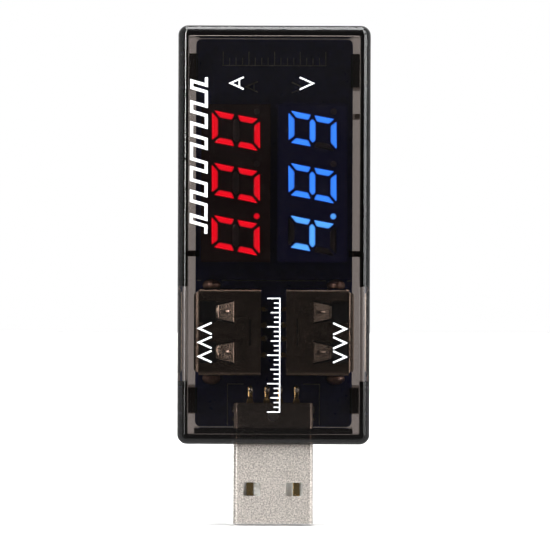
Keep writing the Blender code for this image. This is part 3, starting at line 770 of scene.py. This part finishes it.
def display(name, face, lit_material, first_material):
    """A module: a black body with a window for each segment, and the epoxy in the windows."""
    low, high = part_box(name + "_case")
    lid = low.y + MODULE_LID
    windows = module_windows((low.x + high.x) / 2)
    well = blocks([((low.x + MODULE_WALL, lid, low.z + MODULE_WALL),
                    (high.x - MODULE_WALL, high.y + MM, high.z - MODULE_WALL))])
    holes = extruded([loop for _, _, loop in windows], "XZ", low.y - MM, lid + MM)
    body = boolean(blocks([(low, high)]), [("DIFFERENCE", well), ("DIFFERENCE", holes)])
    piece(name + "_body", body, face, [name + "_case"], bevel=0.12 * MM)

    groups = {"lit": bmesh.new(), "first": bmesh.new(), "unlit": bmesh.new()}
    layers = {key: bm.verts.layers.float.new("glow") for key, bm in groups.items()}
    for digit, letter, loop in windows:
        is_lit = letter in LIT[name][digit] or (letter == "point" and digit == 0)
        key = "unlit" if not is_lit else ("first" if digit == 0 else "lit")
        brightness = 0.88 if letter in ("a", "d", "point") else 1.0
        glow_pad(groups[key], layers[key], loop, low.y + 0.05 * MM, lid, brightness)
    for bm in groups.values():
        face_out(bm)
    piece(name + "_lit_segments", groups["lit"], lit_material, [name + "_epoxy"])
    piece(name + "_first_digit", groups["first"], first_material)
    piece(name + "_unlit_segments", groups["unlit"], UNLIT)


# ---- circuit board

LIFT = 0.002 * MM               # keeps thin shapes clear of the board's face
FILM = 0.03 * MM                # thickness of printed and etched shapes


def plates_on_board(name, loops, material, low_y):
    """Thin printed or etched shapes, from low_y backwards."""
    bm = bmesh.new()
    for loop in loops:
        merge(bm, extruded([loop], "XZ", low_y, low_y + FILM))
    piece(name, bm, material)


def front_silkscreen():
    """The board's printed lines, unit letters and a plain ruler near its top edge."""
    line = 0.16 * MM
    z = SOCKET_HIGH.z + 1.2 * MM
    loops = [ribbon([(-7.9 * MM, z), (7.9 * MM, z)], line)]
    corner_z = 8.95 * MM
    for side in (-1, 1):
        corner_x = side * 6.95 * MM
        loops.append(ribbon([(side * 11.05 * MM, z), (side * 11.6 * MM, z)], line))
        loops.append(ribbon([(corner_x, 2.8 * MM), (corner_x, corner_z), (side * 4.5 * MM, corner_z)], line))
    loops += letter_a((-3.4 * MM, 53.9 * MM), 1.8 * MM, 0.24 * MM)
    loops += letter_v((3.5 * MM, 53.8 * MM), 1.8 * MM, 0.24 * MM)
    ruler_z = 57.2 * MM
    loops.append(rectangle((-7.9 * MM, ruler_z - line), (7.9 * MM, ruler_z)))
    for number in range(-8, 9):
        x = number * 0.97 * MM
        length = (2.0 if number % 4 == 0 else 1.1) * MM
        loops.append(rectangle((x - line / 2, ruler_z + HAIR), (x + line / 2, ruler_z + length)))
    plates_on_board("front_silkscreen", loops, SILK, BOARD_FRONT - LIFT - FILM)


DOME = ((1.0, 0.0), (0.95, 0.3), (0.8, 0.62), (0.55, 0.86), (0.25, 0.98))    # (radius, height)


def solder_dome(bm, centre, radius_x, radius_z, height, outward):
    """A low dome of solder on the board's front (outward -1) or back (outward 1)."""
    steps = 16
    face_y = BOARD_FRONT if outward < 0 else BOARD_BACK
    rings = []
    for share, lift in DOME:
        y = face_y + outward * (2 * LIFT + height * lift)
        ring = []
        for k in range(steps):
            angle = 2 * pi * k / steps
            ring.append(bm.verts.new((centre[0] + radius_x * share * cos(angle), y,
                                      centre[1] + radius_z * share * sin(angle))))
        rings.append(ring)
    skin(bm, rings)
    bm.faces.new(rings[0])
    bm.faces.new(rings[-1])


def pin_places():
    """Where the displays' pins come through the board, as (x, z)."""
    return [(side * MODULE_X + row * PIN_ROW, MODULE_Z + (i - 2.5) * PIN_PITCH)
            for side in (-1, 1) for row in (-1, 1) for i in range(6)]


def solder_joints():
    front, legs, back = bmesh.new(), bmesh.new(), bmesh.new()
    for x in CONTACT_PITCHES:
        solder_dome(front, (x, 8.0 * MM), 0.5 * MM, 0.8 * MM, 0.4 * MM, -1)
    for side in (-1, 1):
        x = side * LEG_X
        for edge in (-1, 1):
            wall_z = SOCKET_Z + edge * SOCKET_WIDTH / 2
            solder_dome(legs, (x, wall_z + edge * 0.5 * MM), 1.4 * MM, 0.95 * MM, 0.9 * MM, -1)
            solder_dome(back, (x, wall_z), 1.4 * MM, 0.8 * MM, 0.7 * MM, 1)
        for pitch in CONTACT_PITCHES:
            solder_dome(back, (side * 1.4 * MM, SOCKET_Z + pitch), 0.75 * MM, 0.75 * MM, 0.7 * MM, 1)
        solder_dome(back, (side * 5.85 * MM, 4.5 * MM), 0.8 * MM, 1.3 * MM, 0.7 * MM, 1)
    for place in pin_places():
        solder_dome(back, place, 0.72 * MM, 0.72 * MM, 0.8 * MM, 1)
    for name, bm, material in (("front_solder", front, TIN), ("leg_solder", legs, LEG_SOLDER),
                               ("back_solder", back, TIN)):
        face_out(bm)
        piece(name, bm, material, smooth=60.0)


def back_traces():
    """Masked copper on the back: wide power runs, and thin runs from the pins to the controller."""
    loops = []
    for side in (-1, 1):
        inner_x, outer_x = side * 1.4 * MM, side * 3.4 * MM
        loops.append(ribbon([(inner_x, SOCKET_Z + 3.5 * MM), (inner_x, 24.4 * MM),
                             (side * 2.6 * MM, 25.6 * MM)], 0.9 * MM))
        loops.append(ribbon([(side * 8.8 * MM, 4.2 * MM), (outer_x, 4.2 * MM),
                             (outer_x, 12.5 * MM), (side * 1.6 * MM, 13.2 * MM)], 0.7 * MM))
    low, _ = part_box("microcontroller")
    pins = [place for place in pin_places() if place[0] < 0]
    for number, (x, z) in enumerate(pins):
        lane_x = x + (0.95 + 0.22 * (number % 6)) * MM
        end_z = low.z + (0.6 + 0.5 * (number % 10)) * MM - 6.2 * MM
        loops.append(ribbon([(x + 0.6 * MM, z), (lane_x, z + 0.3 * MM), (lane_x, end_z)], 0.16 * MM))
    plates_on_board("back_traces", loops, TRACE, BOARD_BACK + LIFT)


# ---- pieces on the board's back

def leaded_chip(node, leads_per_side, pitch, lead_width, body_half):
    """A moulded package with gull-wing leads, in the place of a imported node."""
    low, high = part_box(node)
    x, z = (low.x + high.x) / 2, (low.z + high.z) / 2
    bottom = BOARD_BACK + 0.2 * MM
    taper = 0.1 * MM
    body = blocks([((x - body_half, bottom, low.z), (x + body_half, high.y, high.z))])
    for vert in body.verts:
        if vert.co.y > bottom + taper:
            vert.co.x += taper if vert.co.x < x else -taper
            vert.co.z += taper if vert.co.z < z else -taper
    dot = extruded([circle((x - body_half + 0.6 * MM, high.z - 0.7 * MM), 0.25 * MM)], "XZ",
                   high.y - 0.06 * MM, high.y + MM)
    piece(node + "_body", boolean(body, [("DIFFERENCE", dot)]), CHIP_BLACK, [node],
          bevel=0.05 * MM)
    leads = bmesh.new()
    middle_y = (bottom + high.y) / 2
    foot_y = BOARD_BACK + 0.12 * MM
    profile = ((body_half - 0.2 * MM, middle_y), (body_half + 0.25 * MM, middle_y),
               (body_half + 0.42 * MM, foot_y), (high.x - x, foot_y))
    for side in (-1, 1):
        path = [(x + side * reach, y) for reach, y in profile]
        for i in range(leads_per_side):
            lead_z = z + (i - (leads_per_side - 1) / 2) * pitch
            merge(leads, bent_strip(path, [lead_width / 2] * 4, 0.13 * MM, lead_z))
    piece(node + "_leads", leads, TIN)


def regulator():
    """The voltage regulator: a moulded body with three legs on one side and a wide tab on the other."""
    low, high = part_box("voltage_regulator")
    z = (low.z + high.z) / 2
    x = -8.6 * MM
    half = 1.25 * MM
    body = blocks([((x - half, BOARD_BACK + 0.1 * MM, low.z), (x + half, high.y, high.z))])
    piece("voltage_regulator_body", body, CHIP_BLACK, ["voltage_regulator"], bevel=0.12 * MM)
    tabs = [(low.x, x - 1.1 * MM, z + step * 1.5 * MM, 0.25 * MM) for step in (-1, 0, 1)]
    tabs.append((x + 1.1 * MM, high.x, z, 0.9 * MM))
    near_y, far_y = BOARD_BACK + 0.15 * MM, BOARD_BACK + 0.5 * MM
    tabs = blocks([((left, near_y, tab_z - wide), (right, far_y, tab_z + wide))
                   for left, right, tab_z, wide in tabs])
    piece("voltage_regulator_tabs", tabs, TIN, bevel=0.04 * MM)


def chip_component(node, material, cap):
    """A ceramic chip with metal end caps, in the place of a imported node."""
    low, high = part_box(node)
    axis = 0 if high.x - low.x > high.z - low.z else 2
    body_low, body_high = low.copy(), high.copy()
    for k in range(3):
        inset_by = cap * 0.9 if k == axis else 0.03 * MM
        body_low[k] += inset_by
        body_high[k] -= inset_by
    piece(node + "_body", blocks([(body_low, body_high)]), material, [node], bevel=0.05 * MM)
    first_high, second_low = high.copy(), low.copy()
    first_high[axis] = low[axis] + cap
    second_low[axis] = high[axis] - cap
    piece(node + "_ends", blocks([(low, first_high), (second_low, high)]), TIN,
          bevel=0.06 * MM)


def board_pieces():
    leaded_chip("microcontroller", 10, 0.65 * MM, 0.28 * MM, 2.2 * MM)
    leaded_chip("amplifier", 4, 1.27 * MM, 0.4 * MM, 1.95 * MM)
    regulator()
    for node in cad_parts:
        if node.endswith("capacitor"):
            chip_component(node, CERAMIC, 0.4 * MM)
        elif "_resistor" in node:
            chip_component(node, FILM_BLACK, 0.7 * MM if "shunt" in node else 0.3 * MM)


# ---- plug

def plug():
    width = PLUG_HIGH.x - PLUG_LOW.x
    height = 2 * PLUG_HALF_HEIGHT
    outer = rounded_rectangle((0.0, 0.0), width, height, PLUG_CORNER, 7)
    inner = rounded_rectangle((0.0, 0.0), width - 2 * SHEET, height - 2 * SHEET, PLUG_CORNER - SHEET, 7)
    tube = extruded([outer, inner], "XY", PLUG_LOW.z, PLUG_HIGH.z)
    window_z = PLUG_LOW.z + 5.2 * MM
    windows = [rounded_rectangle((x, window_z), 2.5 * MM, 2.0 * MM, 0.12 * MM, 3)
               for x in (-3.2 * MM, 3.2 * MM)]
    lock = extruded([circle((0.0, PLUG_LOCK_Z), 0.8 * MM, 24)], "XZ", -height, -PLUG_HALF_HEIGHT + 2 * SHEET)
    seam = blocks([((-0.04 * MM, PLUG_HALF_HEIGHT - 0.12 * MM, PLUG_LOW.z - MM),
                    (0.04 * MM, height, PLUG_HIGH.z + MM))])
    legs = blocks([side_box(side, (PLUG_HIGH.x - SHEET, PLUG_HIGH.x - 0.01 * MM),
                            (1.1 * MM, PLUG_HIGH.y), (3.7 * MM, 5.3 * MM)) for side in (-1, 1)])
    shell = boolean(tube, [("DIFFERENCE", extruded(windows, "XZ", -height, height)), ("DIFFERENCE", lock),
                           ("DIFFERENCE", seam), ("UNION", legs)])
    piece("plug_shell_folded", shell, PLUG_NICKEL, ["plug_shell"], bevel=0.05 * MM)

    # contacts: gold along the tongue, bent down to the board behind the shell
    for number, x in enumerate(CONTACT_PITCHES, start=1):
        node = f"plug_contact_{number}"
        low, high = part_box(node)
        strip_y = low.y + CONTACT_THICKNESS / 2
        foot_y = BOARD_FRONT - 0.1 * MM - CONTACT_THICKNESS / 2
        bend_z = 6.72 * MM
        path = [(strip_y, low.z), (strip_y, bend_z - 0.25 * MM), (strip_y + 0.1 * MM, bend_z - 0.06 * MM),
                (strip_y + 0.35 * MM, bend_z), (foot_y - 0.35 * MM, bend_z + 0.1 * MM),
                (foot_y - 0.08 * MM, bend_z + 0.2 * MM), (foot_y, bend_z + 0.45 * MM), (foot_y, high.z)]
        halves = [h * MM for h in (0.5, 0.5, 0.4, 0.32, 0.32, 0.32, 0.32, 0.3)]
        strip = bent_strip(path, halves, CONTACT_THICKNESS, x, "YZ")
        piece(node + "_bent", strip, GOLD, [node], bevel=0.03 * MM)


# ---- sockets

def finger(side, z, face_y, inward):
    """A spring finger and its pressed rib: rooted towards the rear, leaning in, with a curled tip."""
    (root_x, root_half), (tip_x, tip_half) = FINGER_ROOT, FINGER_TIP
    low_y = face_y + inward * FINGER_DEPTH
    bend_x = tip_x - 0.45 * MM
    path = [(root_x - 0.3 * MM, face_y), (root_x - 0.05 * MM, face_y),
            (root_x + 0.1 * MM, face_y + inward * 0.02 * MM), (bend_x, low_y),
            (bend_x + 0.2 * MM, low_y + inward * 0.01 * MM), (tip_x, low_y - inward * 0.16 * MM)]
    halves = []
    for x, _ in path:
        share = min(max((x - root_x) / (tip_x - root_x), 0.0), 1.0)
        halves.append(root_half + (tip_half - root_half) * share - 0.02 * MM)
    slope = FINGER_DEPTH / (bend_x - root_x)
    rib = [(x, face_y + inward * ((x - root_x) * slope - 0.12 * MM)) for x in (6.45 * MM, 7.8 * MM)]
    return [bent_strip([(side * x, y) for x, y in line], widths, sheet, z)
            for line, widths, sheet in ((path, halves, SHEET * 0.85), (rib, [0.27 * MM] * 2, 0.2 * MM))]


def socket(name, side):
    """A folded shell with windows round its spring fingers, soldered legs and flared lips."""
    middle = ((SOCKET_FRONT + SOCKET_BACK) / 2, SOCKET_Z)
    height = SOCKET_BACK - SOCKET_FRONT
    outer = rounded_rectangle(middle, height, SOCKET_WIDTH, 0.7 * MM, 6)
    inner = rounded_rectangle(middle, height - 2 * SHEET, SOCKET_WIDTH - 2 * SHEET, 0.4 * MM, 6)
    tube = extruded([outer, inner], "YZ", *span(side, SOCKET_REAR_X, LIP_X))

    (root_x, root_half), (tip_x, tip_half) = FINGER_ROOT, FINGER_TIP
    slit = 0.22 * MM
    mouth_x, mouth_half = LIP_X - 0.1 * MM, 1.62 * MM
    shape = [(root_x, root_half), (root_x, root_half + slit), (tip_x - 0.1 * MM, tip_half + 1.3 * slit),
             (tip_x, mouth_half), (mouth_x, mouth_half)]
    slits = shape[:2] + [(tip_x + slit, tip_half + 1.3 * slit)]
    windows, rear_windows = [], []
    for edge in (-1, 1):
        z = SOCKET_Z + edge * FINGER_OFFSET
        for found, half_shape, radius, steps in ((windows, shape, 0.35 * MM, 4),
                                                 (rear_windows, slits, 0.1 * MM, 2)):
            whole = half_shape + [(x, -offset) for x, offset in reversed(half_shape)]
            found.append(softened([(side * x, z + offset) for x, offset in whole], radius, steps))
    mid_gap = rectangle((side * 3.45 * MM, SOCKET_Z - 2.0 * MM), (side * 3.65 * MM, SOCKET_Z + 2.0 * MM))
    legs = []
    for edge in (-1, 1):
        wall_z = SOCKET_Z + edge * SOCKET_WIDTH / 2
        ends = sorted((wall_z, wall_z - edge * SHEET))
        legs.append(side_box(side, (LEG_X - 0.7 * MM, LEG_X + 0.7 * MM), (0.8 * MM, 4.6 * MM),
                             grown(ends, -0.01 * MM)))
    front_y = (SOCKET_FRONT - MM, SOCKET_FRONT + 2 * SHEET)
    shell = boolean(tube, [
        ("DIFFERENCE", extruded(windows, "XZ", *front_y)),
        ("DIFFERENCE", extruded(rear_windows, "XZ", SOCKET_BACK - 2 * SHEET, SOCKET_BACK + 0.2 * MM)),
        ("DIFFERENCE", extruded([mid_gap], "XZ", *front_y)),
        ("UNION", blocks(legs)),
    ])
    faces = ((SOCKET_FRONT + SHEET / 2, 1), (SOCKET_BACK - SHEET / 2, -1))    # (y, way in)
    for face_y, inward in faces:
        for edge in (-1, 1):
            for strip in finger(side, SOCKET_Z + edge * FINGER_OFFSET, face_y, inward):
                merge(shell, strip)
    halves = [half * MM for half in (6.15, 6.1, 6.0, 5.95, 5.9, 5.8, 5.6)]
    for face_y, inward in faces:
        path = arc((LIP_X - 0.03 * MM, face_y), (SOCKET_MOUTH_X - 0.02 * MM, face_y - inward * 0.3 * MM),
                   side * inward * 0.08 * MM)
        merge(shell, bent_strip([(side * x, y) for x, y in path], halves, SHEET * 0.95, SOCKET_Z))
    piece(name + "_shell_folded", shell, SOCKET_NICKEL, [name + "_shell"], bevel=0.05 * MM)


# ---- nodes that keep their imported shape

def paint_nodes():
    looks = {"circuit_board": MASK, "display_base": BASE_WHITE, "plug_insulator": WHITE_PLASTIC,
             "socket_insulator": BLACK_PLASTIC, "socket_contact": GOLD}
    for name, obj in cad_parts.items():
        for words, material in looks.items():
            if words in name:
                obj.data.materials.clear()
                obj.data.materials.append(material)


# ---- studio

DARK_ZONE = (30.0, 62.0)        # degrees from -Y: dark inside the first, bright outside the second
DARK_LEVEL = 0.05
DARK_GRADIENT = ((0.8, 2.1, 0.07), (-0.9, -1.75, 0.12))      # (elevation from, to, added level)
ROOM_LEVEL = 0.65
TOP_FADE = 4.0                  # degrees over which a soft box ends above its top
# soft boxes as (azimuth from -Y towards +X, half width, soft edge, lowest, fully lit from, top, power)
SOFT_BOXES = (
    (-22.0, 3.5, 4.5, -3.0, 3.0, 60.0, 17.0),
    (50.0, 13.0, 10.0, -3.5, 3.5, 9.0, 7.0),
    (50.0, 13.0, 10.0, 22.0, 28.0, 60.0, 7.0),
    (0.0, 181.0, 1.0, 64.0, 72.0, 91.0, 8.0),
)


def calc(tree, operation, *values):
    node = tree.nodes.new("ShaderNodeMath")
    node.operation = operation
    for target, value in zip(node.inputs, values):
        feed(target, value)
    return node.outputs["Value"]


def smooth_step(tree, source, start, end):
    return scaled(tree, source, 0.0, 1.0, start, end, "SMOOTHSTEP")


def studio():
    """A pale floor in a bright room with a dark zone in front, which the glossy front reflects."""
    bm = bmesh.new()
    bmesh.ops.create_grid(bm, x_segments=1, y_segments=1, size=3.0)
    floor = mesh_object("floor", bm)
    floor.location.z = PLUG_LOW.z - 0.3 * MM
    floor.visible_glossy = False
    floor.visible_transmission = False
    material, _ = new_material("pale_floor", (0.92, 0.92, 0.92), 0.6)
    floor.data.materials.append(material)

    world = bpy.data.worlds.new("studio")
    bpy.context.scene.world = world
    world.use_nodes = True
    tree = world.node_tree
    place = add_node(tree, "TexCoord", {})
    split = add_node(tree, "SeparateXYZ", {"Vector": place.outputs["Generated"]})
    x, y, z = split.outputs
    azimuth = calc(tree, "ARCTAN2", x, calc(tree, "MULTIPLY", y, -1.0))
    elevation = calc(tree, "ARCSINE", z)

    room = smooth_step(tree, y, *(-cos(radians(angle)) for angle in DARK_ZONE))
    level = calc(tree, "MULTIPLY_ADD", room, ROOM_LEVEL - DARK_LEVEL, DARK_LEVEL)
    for start, end, added in DARK_GRADIENT:
        rise = smooth_step(tree, elevation, radians(start), radians(end))
        level = calc(tree, "MULTIPLY_ADD", rise, added, level)
    # the soft boxes don't light what is seen through plastic by way of a matt surface
    path = add_node(tree, "LightPath", {})
    through = calc(tree, "MULTIPLY", path.outputs["Diffuse Depth"], path.outputs["Transmission Depth"])
    direct = calc(tree, "LESS_THAN", through, 0.5)
    for middle, half, edge, lowest, full, top, power in SOFT_BOXES:
        off_axis = calc(tree, "ABSOLUTE", calc(tree, "SUBTRACT", azimuth, radians(middle)))
        wide = smooth_step(tree, off_axis, radians(half + edge), radians(half))
        rising = smooth_step(tree, elevation, radians(lowest), radians(full))
        below_top = smooth_step(tree, elevation, radians(top + TOP_FADE), radians(top))
        shape = calc(tree, "MULTIPLY", calc(tree, "MULTIPLY", wide, rising), below_top)
        level = calc(tree, "MULTIPLY_ADD", calc(tree, "MULTIPLY", shape, direct), power, level)

    # the backdrop, seen directly or through clear plastic, is plain white
    bounced = calc(tree, "ADD", path.outputs["Diffuse Depth"], path.outputs["Glossy Depth"])
    mixed = add_node(tree, "Mix", {"Factor": calc(tree, "MINIMUM", bounced, 1.0), "A": 1.0, "B": level})
    put(tree.nodes["Background"], {"Color": (1.0, 1.0, 1.0, 1.0), "Strength": mixed.outputs["Result"]})


VIEW_DISTANCE = 0.9             # from the camera to the case's front
VIEW_WIDTH = 82.46 * MM         # what the picture's width covers at the case's front
VIEW_ROLL = radians(-0.2)


def camera():
    lens = bpy.data.cameras.new("camera")
    lens.sensor_width = 36.0
    lens.lens = lens.sensor_width * VIEW_DISTANCE / VIEW_WIDTH
    lens.clip_start = 0.01
    lens.clip_end = 20.0
    obj = add_object("camera", lens)
    obj.location = (0.18 * MM, CASE_FRONT - VIEW_DISTANCE, (CASE_TOP + PLUG_LOW.z) / 2)
    obj.rotation_euler = (radians(90.0), VIEW_ROLL, 0.0)
    bpy.context.scene.camera = obj


paint_nodes()
front_cover()
back_cover()
printed_marks()
display("current_display", RED_FACE, RED, RED)
display("voltage_display", BLUE_FACE, BLUE, PALE_BLUE)
front_silkscreen()
back_traces()
solder_joints()
board_pieces()
plug()
socket("left_socket", -1)
socket("right_socket", 1)
studio()
camera()
bpy.context.scene.view_settings.view_transform = "Standard"

bpy.context.view_layer.update()
